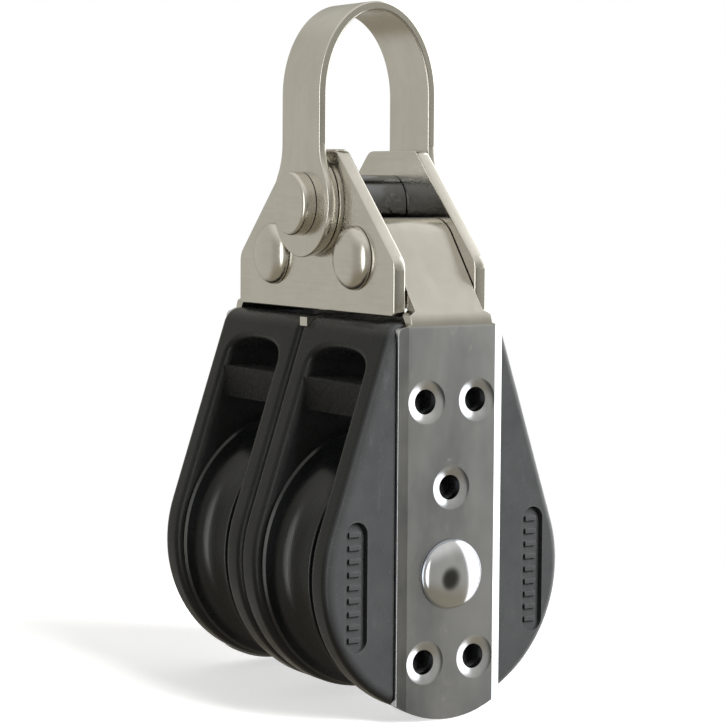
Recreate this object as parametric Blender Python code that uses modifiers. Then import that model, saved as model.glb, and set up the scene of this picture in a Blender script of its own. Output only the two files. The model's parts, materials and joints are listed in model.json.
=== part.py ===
"""Double sheave block: two moulded shells side by side, two grooved sheaves on one axle, a
stainless strap down each cheek, and a riveted head that carries a swinging bow.

Frame: the origin is at the middle of the block's foot, the axle lies along X at AXLE_Z above it,
the rope bays open towards -Y and +Y, and the bow stands up along +Z. Lengths are in millimetres,
turned into metres by MM. Everything is drawn about the axle, so a height named ..._Z is measured
from the axle, and place() lifts each object by AXLE_Z.
"""

import math

import bmesh
import bpy
from mathutils import Matrix

MM = 0.001
RUN = 0.06  # radial clearance of a turning fit
FIT = 0.10  # gap between pieces that rest on each other
CLEAR = 5.0  # how far a cutter runs past what it cuts
FINE_STEPS = 36
ROUND_STEPS = 32
SMALL_STEPS = 24

# Shells
SHELL_WIDTH = 24.35
SEAM_GAP = 0.05
CHEEK_RADIUS = 20.5
TOP_Z = 36.2
TOP_HALF_DEPTH = 10.4
TOP_CORNER = 3.1
SHELL_EDGE = 1.1
BAY_HALF_WIDTH = 7.4
BAY_SPRING_Z = 28.9
BAY_TOP_Z = 31.8
BAY_FULLNESS = 2.4  # 2 would make the arch an ellipse, more makes it squarer
BAY_ARCH_STEPS = 8
LEDGE_Z = 27.4
LEDGE_LAP = 0.8  # how far the mouth's cut rises into the window's
WEB_BOTTOM_Z = 22.6
WEB_HALF_DEPTH = 12.2

# Recesses in the cheeks, one each side of the strap
RECESS_Y = 15.4
RECESS_Z = -0.8
RECESS_HALF_WIDTH = 1.8
RECESS_HALF_LENGTH = 9.3
RECESS_DEPTH = 0.8

# Straps
STRAP_THICKNESS = 1.6
STRAP_OUTER_X = 25.3
STRAP_HALF_WIDTH = 9.0
FOOT_RADIUS = 16.5
FOOT_CENTRE_Z = -4.6
AXLE_Z = FOOT_RADIUS - FOOT_CENTRE_Z
STRAP_SHOULDER_Z = 35.7
SHOULDER_CORNER = 1.0
SHOULDER_RISE = 0.4
NECK_BASE_HALF = 7.0
NECK_TAPER_Z = 37.3
NECK_HALF_WIDTH = 5.85
NECK_Z = 37.95
BEND_Z = 36.4
EYE_SWEEP_DEG = 285.0
HOLE_RADIUS = 1.8
SINK_RADIUS = 3.15
SINK_DEPTH = 0.45
HOLE_ROW = 12.5
HOLE_PAIR_Y = 4.35

# Axle, sheaves, bushes and washers
AXLE_RADIUS = 4.0
DOME_RADIUS = 5.1
DOME_HEIGHT = 2.3
DOME_STEPS = 4
HEAD_RIM = 0.6
SHEAVE_RADIUS = 20.0
SHEAVE_HALF_WIDTH = 6.6
SHEAVE_HUB_RADIUS = 8.6
SHEAVE_WEB_HALF_WIDTH = 5.2
SHEAVE_WEB_SLOPE = 0.8
SHEAVE_WEB_RADIUS = 13.7
SHEAVE_FLANGE_RADIUS = 15.7
SHEAVE_LIP = 0.3
GROOVE_ROOT_RADIUS = 15.2
FLANGE_TIP = 0.7
GROOVE_FULLNESS = 0.8
GROOVE_STEPS = 8
BUSH_RADIUS = 6.2
WASHER_RADIUS = 8.0
WASHER_THICKNESS = 0.5

# Centre plate between the shells
CENTRE_PLATE_THICKNESS = 2.0
CENTRE_PLATE_BOSS = 8.5
CENTRE_PLATE_NECK = 5.0
CENTRE_PLATE_TAB_Z = 34.7
CENTRE_PLATE_TAB_RISE = 0.5
CENTRE_PLATE_TOP_Z = 36.0
CENTRE_PLATE_TAB_HALF = 10.3

# Head
PLATE_THICKNESS = 2.1
PLATE_OUTER_Y = 8.1
PLATE_HALF_WIDTH = 22.2
PLATE_BOTTOM_Z = 37.0
PLATE_KNEE_Z = 44.8
PLATE_TOP_Z = 61.0
PLATE_TOP_HALF = 6.6
PLATE_KNEE_CORNER = 3.0
PLATE_TOP_CORNER = 2.2
PLATE_FOOT_CORNER = 0.8
PLATE_EDGE = 0.3
RIVET_X = 11.6
RIVET_Z = 45.1
RIVET_RADIUS = 3.0
RIVET_HEAD_RADIUS = 4.75
RIVET_HEAD_HEIGHT = 2.2
RIVET_BUSH_RADIUS = 4.2

# Pivot pin and bow
PIN_Z = 52.9
PIN_RADIUS = 3.0
PIN_HEAD_RADIUS = 4.76
PIN_HEAD_HEIGHT = 2.1
PIN_HEAD_EDGE = 0.6
PIN_SPACER_RADIUS = 4.4
BOW_HALF_WIDTH = 5.4
BOW_THICKNESS = 1.3
BOW_OUTER_Y = 10.35
BOW_ARCH_Z = 69.0
BOW_ARCH_HEIGHT = 14.1
BOW_ARCH_STEPS = 16
EAR_RADIUS = 8.0
EAR_FILLET = 9.0
EAR_WASHER_RADIUS = 7.6

SIDES = (("left", -1), ("right", 1))
ENDS = (("front", -1), ("rear", 1))

BLACK_NYLON = ((0.030, 0.031, 0.033), 0.42, 0.0)
SHEAVE_NYLON = ((0.022, 0.022, 0.024), 0.38, 0.0)
BUSH_BRONZE = ((0.42, 0.28, 0.12), 0.45, 0.9)
POLISHED_STEEL = ((0.55, 0.57, 0.61), 0.12, 1.0)
SATIN_STEEL = ((0.50, 0.48, 0.43), 0.32, 1.0)


def clear_scene():
    for obj in list(bpy.data.objects):
        bpy.data.objects.remove(obj, do_unlink=True)


def new_collection(name):
    collection = bpy.data.collections.new(name)
    bpy.context.scene.collection.children.link(collection)
    return collection


def place(obj, origin):
    """Puts obj at origin, given in millimetres from the axle's middle."""
    x, y, z = origin
    obj.location = (x * MM, y * MM, (z + AXLE_Z) * MM)


def paint(obj, name, look):
    """Gives obj a Principled material: look is (colour, roughness, metallic)."""
    colour, roughness, metallic = look
    material = bpy.data.materials.new(name)
    material.use_nodes = True
    shader = material.node_tree.nodes["Principled BSDF"]
    shader.inputs["Base Color"].default_value = (*colour, 1.0)
    shader.inputs["Roughness"].default_value = roughness
    shader.inputs["Metallic"].default_value = metallic
    obj.data.materials.clear()
    obj.data.materials.append(material)


# ---------------------------------------------------------------- outlines


def arc(centre, radius, start_deg, end_deg, steps):
    """Points of a circular arc, both ends included."""
    points = []
    for i in range(steps + 1):
        angle = math.radians(start_deg + (end_deg - start_deg) * i / steps)
        points.append((centre[0] + radius * math.cos(angle), centre[1] + radius * math.sin(angle)))
    return points


def circle(centre, radius, sides=ROUND_STEPS):
    return arc(centre, radius, 0, 360 - 360 / sides, sides - 1)


def rounded(corners, steps=4):
    """A closed outline from (x, y, corner radius) corners, given anticlockwise."""
    points = []
    for i, (x, y, radius) in enumerate(corners):
        if radius <= 0:
            points.append((x, y))
            continue
        ends = []
        for other in (corners[i - 1], corners[(i + 1) % len(corners)]):
            dx = other[0] - x
            dy = other[1] - y
            length = math.hypot(dx, dy)
            ends.append((dx / length, dy / length))
        (ax, ay), (bx, by) = ends
        half = math.acos(max(-1.0, min(1.0, ax * bx + ay * by))) / 2
        reach = radius / math.tan(half)
        away = radius / math.sin(half)
        mid = math.hypot(ax + bx, ay + by)
        centre = (x + (ax + bx) / mid * away, y + (ay + by) / mid * away)
        start = math.atan2(y + ay * reach - centre[1], x + ax * reach - centre[0])
        end = math.atan2(y + by * reach - centre[1], x + bx * reach - centre[0])
        turn = (end - start + math.pi) % (2 * math.pi) - math.pi
        points += arc(centre, radius, math.degrees(start), math.degrees(start + turn), steps)
    return points


def mirrored(right_half):
    """Closes a right-hand half outline, given bottom to top, with its mirror image."""
    return right_half + [(-x, y) for x, y in reversed(right_half) if abs(x) > 1e-6]


def teardrop():
    """Cheek outline in (y, z): a round bottom whose sides run straight in to a rounded flat top."""
    corner = (TOP_HALF_DEPTH - TOP_CORNER, TOP_Z - TOP_CORNER)
    away = math.hypot(*corner)
    tilt = math.acos((CHEEK_RADIUS - TOP_CORNER) / away)
    lean = math.degrees(math.atan2(corner[1], corner[0]) - tilt)
    half = arc((0, 0), CHEEK_RADIUS, -90, lean, 14)
    half += arc(corner, TOP_CORNER, lean, 90, 5)
    return mirrored(half)


def bay_window():
    """Window over the web in (x, z): straight sides under a flattened round arch."""
    half = [(BAY_HALF_WIDTH, LEDGE_Z)]
    for i in range(BAY_ARCH_STEPS + 1):
        angle = math.pi / 2 * i / BAY_ARCH_STEPS
        across = BAY_HALF_WIDTH * max(math.cos(angle), 0) ** (2 / BAY_FULLNESS)
        rise = (BAY_TOP_Z - BAY_SPRING_Z) * math.sin(angle) ** (2 / BAY_FULLNESS)
        half.append((across, BAY_SPRING_Z + rise))
    return mirrored(half)


def stadium(half_width, half_length):
    straight = half_length - half_width
    half = arc((0, -straight), half_width, -90, 0, 5) + arc((0, straight), half_width, 0, 90, 5)
    return mirrored(half)


def strap_front():
    """Strap outline in (y, z): round foot, wide cheek part, shoulders and a neck that tapers in."""
    foot = math.degrees(math.acos(STRAP_HALF_WIDTH / FOOT_RADIUS))
    half = arc((0, FOOT_CENTRE_Z), FOOT_RADIUS, -90, -foot, 8)
    corner = (STRAP_HALF_WIDTH - SHOULDER_CORNER, STRAP_SHOULDER_Z - SHOULDER_CORNER)
    half += arc(corner, SHOULDER_CORNER, 0, 90, 3)
    half += [(NECK_BASE_HALF, STRAP_SHOULDER_Z + SHOULDER_RISE), (NECK_BASE_HALF, NECK_TAPER_Z)]
    half += [(NECK_HALF_WIDTH, NECK_Z), (NECK_HALF_WIDTH, PLATE_TOP_Z)]
    return mirrored(half)


def centre_plate_outline(grow):
    """Centre plate in (y, z): axle boss, neck and a tab reaching the front and rear faces."""
    radius = CENTRE_PLATE_BOSS + grow
    neck = CENTRE_PLATE_NECK + grow
    join = math.degrees(math.acos(neck / radius))
    half = arc((0, 0), radius, -90, join, 8)
    half += [(neck, CENTRE_PLATE_TAB_Z - grow - CENTRE_PLATE_TAB_RISE)]
    half += [(CENTRE_PLATE_TAB_HALF + 3 * grow, CENTRE_PLATE_TAB_Z - grow)]
    half += [(CENTRE_PLATE_TAB_HALF + 3 * grow, CENTRE_PLATE_TOP_Z + 6 * grow)]
    return mirrored(half)


def head_plate_outline():
    """Head plate in (x, z): upright sides, shoulders slanting in to a narrow top."""
    right = [
        (PLATE_HALF_WIDTH, PLATE_BOTTOM_Z, PLATE_FOOT_CORNER),
        (PLATE_HALF_WIDTH, PLATE_KNEE_Z, PLATE_KNEE_CORNER),
        (PLATE_TOP_HALF, PLATE_TOP_Z, PLATE_TOP_CORNER),
    ]
    return rounded(right + [(-x, z, radius) for x, z, radius in reversed(right)])


def ear_outline():
    """Bow from the front, in (x, z from the pin): a round ear flaring up into the leg."""
    rise = math.sqrt((EAR_RADIUS + EAR_FILLET) ** 2 - (BOW_HALF_WIDTH + EAR_FILLET) ** 2)
    join = math.degrees(math.atan2(rise, BOW_HALF_WIDTH + EAR_FILLET))
    half = arc((0, 0), EAR_RADIUS, -90, join, 12)
    half += arc((BOW_HALF_WIDTH + EAR_FILLET, rise), EAR_FILLET, 180 + join, 180, 5)[1:]
    half += [(BOW_HALF_WIDTH, BOW_ARCH_Z - PIN_Z + BOW_ARCH_HEIGHT + CLEAR)]
    return mirrored(half)


# ---------------------------------------------------------------- solids


def facing(axis):
    """Turns a drawing: its right, up and normal become (Y, Z, X) or (X, Z, -Y)."""
    if axis == "X":
        return Matrix(((0, 0, 1, 0), (1, 0, 0, 0), (0, 1, 0, 0), (0, 0, 0, 1)))
    return Matrix(((1, 0, 0, 0), (0, 0, -1, 0), (0, 1, 0, 0), (0, 0, 0, 1)))


def prism(name, collection, outline, axis, low, high, origin=(0, 0, 0)):
    """A flat outline filled and extruded along X or Y from low to high."""
    curve = bpy.data.curves.new(name + "_outline", "CURVE")
    curve.dimensions = "2D"
    curve.fill_mode = "BOTH"
    curve.extrude = (high - low) / 2 * MM
    spline = curve.splines.new("POLY")
    spline.points.add(len(outline) - 1)
    for point, (x, y) in zip(spline.points, outline):
        point.co = (x * MM, y * MM, 0, 1)
    spline.use_cyclic_u = True
    drawing = bpy.data.objects.new(name + "_drawing", curve)
    collection.objects.link(drawing)
    bpy.context.view_layer.update()
    graph = bpy.context.evaluated_depsgraph_get()
    mesh = bpy.data.meshes.new_from_object(drawing.evaluated_get(graph))
    bpy.data.objects.remove(drawing)
    bpy.data.curves.remove(curve)
    middle = (low + high) / 2 * MM
    shift = (middle, 0, 0) if axis == "X" else (0, middle, 0)
    mesh.transform(Matrix.Translation(shift) @ facing(axis))
    solid = bmesh.new()
    solid.from_mesh(mesh)
    bmesh.ops.remove_doubles(solid, verts=solid.verts, dist=1e-6)
    bmesh.ops.recalc_face_normals(solid, faces=solid.faces)
    solid.to_mesh(mesh)
    solid.free()
    mesh.name = name
    obj = bpy.data.objects.new(name, mesh)
    place(obj, origin)
    collection.objects.link(obj)
    return obj


def turned(name, collection, profile, axis, origin, steps=ROUND_STEPS, closed=True):
    """A profile of (radius, height) points turned about X or Y through origin.

    The profile runs down the outer side, top to bottom. A closed one returns up the bore."""
    mesh = bpy.data.meshes.new(name)
    verts = [(radius * MM, 0, height * MM) for radius, height in profile]
    edges = [(i, i + 1) for i in range(len(verts) - 1)]
    if closed:
        edges.append((len(verts) - 1, 0))
    mesh.from_pydata(verts, edges, [])
    obj = bpy.data.objects.new(name, mesh)
    collection.objects.link(obj)
    screw = obj.modifiers.new("Turn", "SCREW")
    screw.steps = steps
    screw.render_steps = steps
    screw.use_merge_vertices = True
    screw.merge_threshold = 0.00001
    screw.use_smooth_shade = True
    obj.rotation_euler = (0, math.radians(90), 0) if axis == "X" else (math.radians(90), 0, 0)
    place(obj, origin)
    return obj


def box(name, collection, low, high):
    solid = bmesh.new()
    bmesh.ops.create_cube(solid, size=1.0)
    for vert in solid.verts:
        vert.co = [(a + (b - a) * (c + 0.5)) * MM for a, b, c in zip(low, high, vert.co)]
    mesh = bpy.data.meshes.new(name)
    solid.to_mesh(mesh)
    solid.free()
    obj = bpy.data.objects.new(name, mesh)
    place(obj, (0, 0, 0))
    collection.objects.link(obj)
    return obj


def bevelled(obj, width, segments=2):
    """Rounds the sharp rims. It comes before any cut, so cut edges stay crisp."""
    bevel = obj.modifiers.new("Rounded rims", "BEVEL")
    bevel.width = width * MM
    bevel.segments = segments
    bevel.limit_method = "ANGLE"
    bevel.angle_limit = math.radians(50)


def cut(obj, cutter, operation="DIFFERENCE"):
    cutter.hide_render = True
    cutter.display_type = "WIRE"
    boolean = obj.modifiers.new(cutter.name, "BOOLEAN")
    boolean.object = cutter
    boolean.operation = operation
    boolean.solver = "EXACT"


def ring(inner, outer, half_length):
    """Profile of a plain tube or washer."""
    return [(outer, half_length), (outer, -half_length), (inner, -half_length), (inner, half_length)]


def domed_pin(radius, half_grip, head_radius, head_height):
    """Profile of a pin with a domed head at each end, from one crown to the other."""
    cap = head_height - HEAD_RIM
    ball = (head_radius**2 + cap**2) / (2 * cap)
    rim = math.degrees(math.asin(head_radius / ball))
    crown = []
    for i in range(DOME_STEPS):
        angle = math.radians(rim * i / DOME_STEPS)
        sag = ball - ball * math.cos(angle)
        crown.append((ball * math.sin(angle), half_grip + head_height - sag))
    half = crown + [(head_radius, half_grip + HEAD_RIM), (head_radius, half_grip), (radius, half_grip)]
    return half + [(r, -z) for r, z in reversed(half)]


def smooth(obj, angle_deg=35):
    if obj.type == "MESH" and obj.data.polygons:
        obj.data.shade_smooth()
        obj.data.set_sharp_from_angle(angle=math.radians(angle_deg))


# ---------------------------------------------------------------- parts


def shell_middle(sign):
    return sign * (SHELL_WIDTH + SEAM_GAP) / 2


def span(sign, near, far):
    """Low and high X of a slice between two distances from the middle plane, on either side."""
    return (near, far) if sign > 0 else (-far, -near)


def build_shell(side, sign, parts, cutters):
    middle = shell_middle(sign)
    low, high = span(sign, SEAM_GAP, SHELL_WIDTH)
    shell = prism(f"shell_{side}", parts, teardrop(), "X", low, high)
    bevelled(shell, SHELL_EDGE)
    reach = CHEEK_RADIUS + CLEAR

    slot = box(
        f"cut_slot_{side}",
        cutters,
        (middle - BAY_HALF_WIDTH, -reach, -reach),
        (middle + BAY_HALF_WIDTH, reach, WEB_BOTTOM_Z),
    )
    cut(shell, slot)
    for end, way in ENDS:
        near, far = span(way, WEB_HALF_DEPTH, reach)
        mouth = box(
            f"cut_mouth_{side}_{end}",
            cutters,
            (middle - BAY_HALF_WIDTH, near, -reach),
            (middle + BAY_HALF_WIDTH, far, LEDGE_Z + LEDGE_LAP),
        )
        cut(shell, mouth)
    window = prism(f"cut_window_{side}", cutters, bay_window(), "Y", -reach, reach, (middle, 0, 0))
    cut(shell, window)

    near, far = span(sign, STRAP_OUTER_X - STRAP_THICKNESS - FIT, STRAP_OUTER_X + CLEAR)
    half = STRAP_HALF_WIDTH + FIT
    channel = box(f"cut_channel_{side}", cutters, (near, -half, -reach), (far, half, TOP_Z + CLEAR))
    cut(shell, channel)

    near, far = span(sign, SHELL_WIDTH - RECESS_DEPTH, SHELL_WIDTH + CLEAR)
    for end, way in ENDS:
        outline = stadium(RECESS_HALF_WIDTH, RECESS_HALF_LENGTH)
        centre = (0, way * RECESS_Y, RECESS_Z)
        cut(shell, prism(f"cut_recess_{side}_{end}", cutters, outline, "X", near, far, centre))

    bore = circle((0, 0), AXLE_RADIUS + FIT)
    low, high = span(sign, -CLEAR, SHELL_WIDTH + CLEAR)
    cut(shell, prism(f"cut_shell_bore_{side}", cutters, bore, "X", low, high))
    if sign > 0:
        outline = centre_plate_outline(FIT)
        depth = CENTRE_PLATE_THICKNESS + 2 * FIT
        cut(shell, prism("cut_centre_pocket", cutters, outline, "X", -CLEAR, depth))
    smooth(shell)
    paint(shell, f"nylon_shell_{side}", BLACK_NYLON)


def build_centre_plate(parts, cutters):
    outline = centre_plate_outline(0)
    plate = prism("centre_plate", parts, outline, "X", FIT, FIT + CENTRE_PLATE_THICKNESS)
    bore = circle((0, 0), AXLE_RADIUS + FIT)
    cut(plate, prism("cut_centre_bore", cutters, bore, "X", -CLEAR, CENTRE_PLATE_THICKNESS + CLEAR))
    smooth(plate)
    paint(plate, "steel_centre_plate", SATIN_STEEL)


def strap_profile():
    """Strap seen edge-on in (x, z): up the cheek, in at the bend and round the rivet bush."""
    middle_x = STRAP_OUTER_X - STRAP_THICKNESS / 2
    eye_radius = RIVET_BUSH_RADIUS + FIT + STRAP_THICKNESS / 2
    dx = middle_x - RIVET_X
    dz = BEND_Z - RIVET_Z
    touch = math.degrees(math.atan2(dz, dx) + math.acos(eye_radius / math.hypot(dx, dz)))
    path = [(middle_x, -AXLE_Z - CLEAR), (middle_x, BEND_Z)]
    path += arc((RIVET_X, RIVET_Z), eye_radius, touch, touch + EYE_SWEEP_DEG, 26)
    sides = ([], [])
    for i, (x, z) in enumerate(path):
        before = path[max(i - 1, 0)]
        after = path[min(i + 1, len(path) - 1)]
        first = math.atan2(z - before[1], x - before[0]) if i else None
        second = math.atan2(after[1] - z, after[0] - x) if i < len(path) - 1 else first
        first = second if first is None else first
        bend = (second - first + math.pi) % (2 * math.pi) - math.pi
        heading = first + bend / 2
        offset = STRAP_THICKNESS / 2 / math.cos(bend / 2)
        for points, way in zip(sides, (1, -1)):
            aside = way * offset
            points.append((x + aside * math.sin(heading), z - aside * math.cos(heading)))
    return sides[0] + sides[1][::-1]


def sink_profile():
    """Countersunk hole, turned about the hole's axis with height 0 at the strap's outer face."""
    flare = (SINK_RADIUS - HOLE_RADIUS) / SINK_DEPTH * CLEAR
    bottom = -STRAP_THICKNESS - CLEAR
    mouth = [(0, CLEAR), (SINK_RADIUS + flare, CLEAR), (HOLE_RADIUS, -SINK_DEPTH)]
    return mouth + [(HOLE_RADIUS, bottom), (0, bottom)]


def build_strap(side, sign, parts, cutters):
    outline = [(sign * x, z) for x, z in strap_profile()]
    half = STRAP_HALF_WIDTH + CLEAR
    strap = prism(f"strap_{side}", parts, outline, "Y", -half, half)
    low, high = span(sign, FIT, STRAP_OUTER_X + CLEAR)
    cut(strap, prism(f"keep_strap_{side}", cutters, strap_front(), "X", low, high), "INTERSECT")
    holes = [(way * HOLE_PAIR_Y, row * HOLE_ROW) for row in (2, -1) for _, way in ENDS]
    holes.append((0, HOLE_ROW))
    for number, (y, z) in enumerate(holes, 1):
        name = f"cut_hole_{side}_{number}"
        centre = (sign * STRAP_OUTER_X, y, z)
        hole = turned(name, cutters, sink_profile(), "X", centre, SMALL_STEPS, closed=False)
        if sign < 0:
            hole.rotation_euler = (0, math.radians(-90), 0)
        cut(strap, hole)
    bore = circle((0, 0), AXLE_RADIUS + FIT)
    low, high = span(sign, RIVET_X, STRAP_OUTER_X + CLEAR)
    cut(strap, prism(f"cut_strap_bore_{side}", cutters, bore, "X", low, high))
    smooth(strap)
    paint(strap, f"steel_strap_{side}", POLISHED_STEEL)


def build_axle(parts):
    grip = STRAP_OUTER_X + FIT
    profile = domed_pin(AXLE_RADIUS, grip, DOME_RADIUS, DOME_HEIGHT)
    axle = turned("axle_pin", parts, profile, "X", (0, 0, 0), closed=False)
    paint(axle, "steel_axle", POLISHED_STEEL)


def sheave_profile():
    """Sheave about its own middle: round groove, flanges, recessed web and a wider hub."""
    bore = BUSH_RADIUS + FIT
    half = SHEAVE_HALF_WIDTH
    mouth = half - FLANGE_TIP
    rim = SHEAVE_RADIUS - SHEAVE_LIP
    groove = []
    for i in range(GROOVE_STEPS + 1):
        angle = math.pi * i / GROOVE_STEPS
        depth = (rim - GROOVE_ROOT_RADIUS) * math.sin(angle) ** GROOVE_FULLNESS
        groove.append((rim - depth, mouth * math.cos(angle)))
    web = SHEAVE_WEB_HALF_WIDTH
    upper = [(SHEAVE_HUB_RADIUS, half), (SHEAVE_HUB_RADIUS + SHEAVE_WEB_SLOPE, web)]
    upper += [(SHEAVE_WEB_RADIUS, web), (SHEAVE_FLANGE_RADIUS, half)]
    upper += [(rim, half), (SHEAVE_RADIUS, half - SHEAVE_LIP)]
    lower = [(radius, -height) for radius, height in reversed(upper)]
    return [(bore, half)] + upper + groove + lower + [(bore, -half)]


def build_running_gear(side, sign, parts):
    middle = shell_middle(sign)
    sheave = turned(f"sheave_{side}", parts, sheave_profile(), "X", (middle, 0, 0), FINE_STEPS)
    paint(sheave, f"nylon_sheave_{side}", SHEAVE_NYLON)
    bush = ring(AXLE_RADIUS + RUN, BUSH_RADIUS, SHEAVE_HALF_WIDTH - FIT)
    bush = turned(f"sheave_bush_{side}", parts, bush, "X", (middle, 0, 0))
    paint(bush, f"bronze_bush_{side}", BUSH_BRONZE)
    seat = SHEAVE_HALF_WIDTH + FIT + WASHER_THICKNESS / 2
    for place, way in (("outer", sign), ("inner", -sign)):
        washer = ring(AXLE_RADIUS + FIT, WASHER_RADIUS, WASHER_THICKNESS / 2)
        name = f"thrust_washer_{side}_{place}"
        washer = turned(name, parts, washer, "X", (middle + way * seat, 0, 0), SMALL_STEPS)
        paint(washer, f"steel_{name}", SATIN_STEEL)


def build_head(parts, cutters):
    middle_y = PLATE_OUTER_Y - PLATE_THICKNESS / 2
    inner_y = PLATE_OUTER_Y - PLATE_THICKNESS
    holes = [(sign * RIVET_X, RIVET_Z, RIVET_RADIUS) for _, sign in SIDES]
    holes.append((0, PIN_Z, PIN_RADIUS))
    far = PLATE_OUTER_Y + CLEAR
    drills = []
    for number, (x, z, radius) in enumerate(holes, 1):
        outline = circle((x, z), radius + FIT, SMALL_STEPS)
        drills.append(prism(f"cut_head_hole_{number}", cutters, outline, "Y", -far, far))
    for end, way in ENDS:
        low = way * middle_y - PLATE_THICKNESS / 2
        plate = prism(f"head_plate_{end}", parts, head_plate_outline(), "Y", low, low + PLATE_THICKNESS)
        bevelled(plate, PLATE_EDGE, 1)
        for drill in drills:
            cut(plate, drill)
        smooth(plate)
        paint(plate, f"steel_head_plate_{end}", SATIN_STEEL)

    for side, sign in SIDES:
        centre = (sign * RIVET_X, 0, RIVET_Z)
        grip = PLATE_OUTER_Y + FIT
        profile = domed_pin(RIVET_RADIUS, grip, RIVET_HEAD_RADIUS, RIVET_HEAD_HEIGHT)
        rivet = turned(f"head_rivet_{side}", parts, profile, "Y", centre, SMALL_STEPS, closed=False)
        paint(rivet, f"steel_rivet_{side}", SATIN_STEEL)
        tube = ring(RIVET_RADIUS + FIT, RIVET_BUSH_RADIUS, inner_y - FIT)
        bush = turned(f"rivet_bush_{side}", parts, tube, "Y", centre, SMALL_STEPS)
        paint(bush, f"steel_rivet_bush_{side}", SATIN_STEEL)


def build_pivot(parts):
    centre = (0, 0, PIN_Z)
    grip = BOW_OUTER_Y + FIT
    top = grip + PIN_HEAD_HEIGHT
    edge = (PIN_HEAD_RADIUS - PIN_HEAD_EDGE, top - PIN_HEAD_EDGE)
    half = [(0, top)] + arc(edge, PIN_HEAD_EDGE, 90, 0, 2)
    half += [(PIN_HEAD_RADIUS, grip), (PIN_RADIUS, grip)]
    profile = half + [(radius, -height) for radius, height in reversed(half)]
    pin = turned("pivot_pin", parts, profile, "Y", centre, ROUND_STEPS, closed=False)
    paint(pin, "steel_pivot_pin", SATIN_STEEL)

    spacer = ring(PIN_RADIUS + FIT, PIN_SPACER_RADIUS, PLATE_OUTER_Y - PLATE_THICKNESS - FIT)
    spacer = turned("pivot_spacer", parts, spacer, "Y", centre, SMALL_STEPS)
    paint(spacer, "steel_pivot_spacer", SATIN_STEEL)

    near = PLATE_OUTER_Y + FIT
    far = BOW_OUTER_Y - BOW_THICKNESS - FIT
    for end, way in ENDS:
        washer = ring(PIN_RADIUS + FIT, EAR_WASHER_RADIUS, (far - near) / 2)
        centre = (0, way * (near + far) / 2, PIN_Z)
        washer = turned(f"ear_washer_{end}", parts, washer, "Y", centre)
        paint(washer, f"steel_ear_washer_{end}", SATIN_STEEL)


def build_bow(parts, cutters):
    """The bow is an arched strip along X, trimmed to its eared shape and drilled for the pin."""
    spring = BOW_ARCH_Z - PIN_Z
    centre = (0, 0, PIN_Z)
    faces = []
    for inset in (0, BOW_THICKNESS):
        face = [(BOW_OUTER_Y - inset, -EAR_RADIUS - CLEAR)]
        for i in range(BOW_ARCH_STEPS + 1):
            angle = math.pi / 2 * i / BOW_ARCH_STEPS
            y = (BOW_OUTER_Y - inset) * math.cos(angle)
            face.append((y, spring + (BOW_ARCH_HEIGHT - inset) * math.sin(angle)))
        faces.append(face)
    outer, inner = faces
    outline = outer + [(-y, z) for y, z in reversed(outer[:-1])]
    outline += [(-y, z) for y, z in inner] + list(reversed(inner[:-1]))
    half = EAR_RADIUS + CLEAR
    bow = prism("bow", parts, outline, "X", -half, half, centre)
    far = BOW_OUTER_Y + CLEAR
    cut(bow, prism("keep_bow", cutters, ear_outline(), "Y", -far, far, centre), "INTERSECT")
    hole = circle((0, 0), PIN_RADIUS + RUN)
    cut(bow, prism("cut_bow_hole", cutters, hole, "Y", -far, far, centre))
    smooth(bow)
    paint(bow, "steel_bow", SATIN_STEEL)


def main():
    clear_scene()
    parts = new_collection("double_sheave_block")
    cutters = new_collection("cutters")
    for side, sign in SIDES:
        build_shell(side, sign, parts, cutters)
        build_strap(side, sign, parts, cutters)
        build_running_gear(side, sign, parts)
    build_centre_plate(parts, cutters)
    build_axle(parts)
    build_head(parts, cutters)
    build_pivot(parts)
    build_bow(parts, cutters)


main()
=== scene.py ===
"""Looks of the double sheave block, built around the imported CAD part.

Every piece is drawn about the axle in millimetres, as (x, y, height above the axle), and is turned
into metres in the CAD frame by to_frame(). Sizes that the CAD part holds are read from its nodes'
boxes. The constants below are the shapes that a box can't tell, in the same millimetres unless a
comment says otherwise.
"""

import json
import math

import bmesh
import bpy
from mathutils import Matrix, Vector

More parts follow.
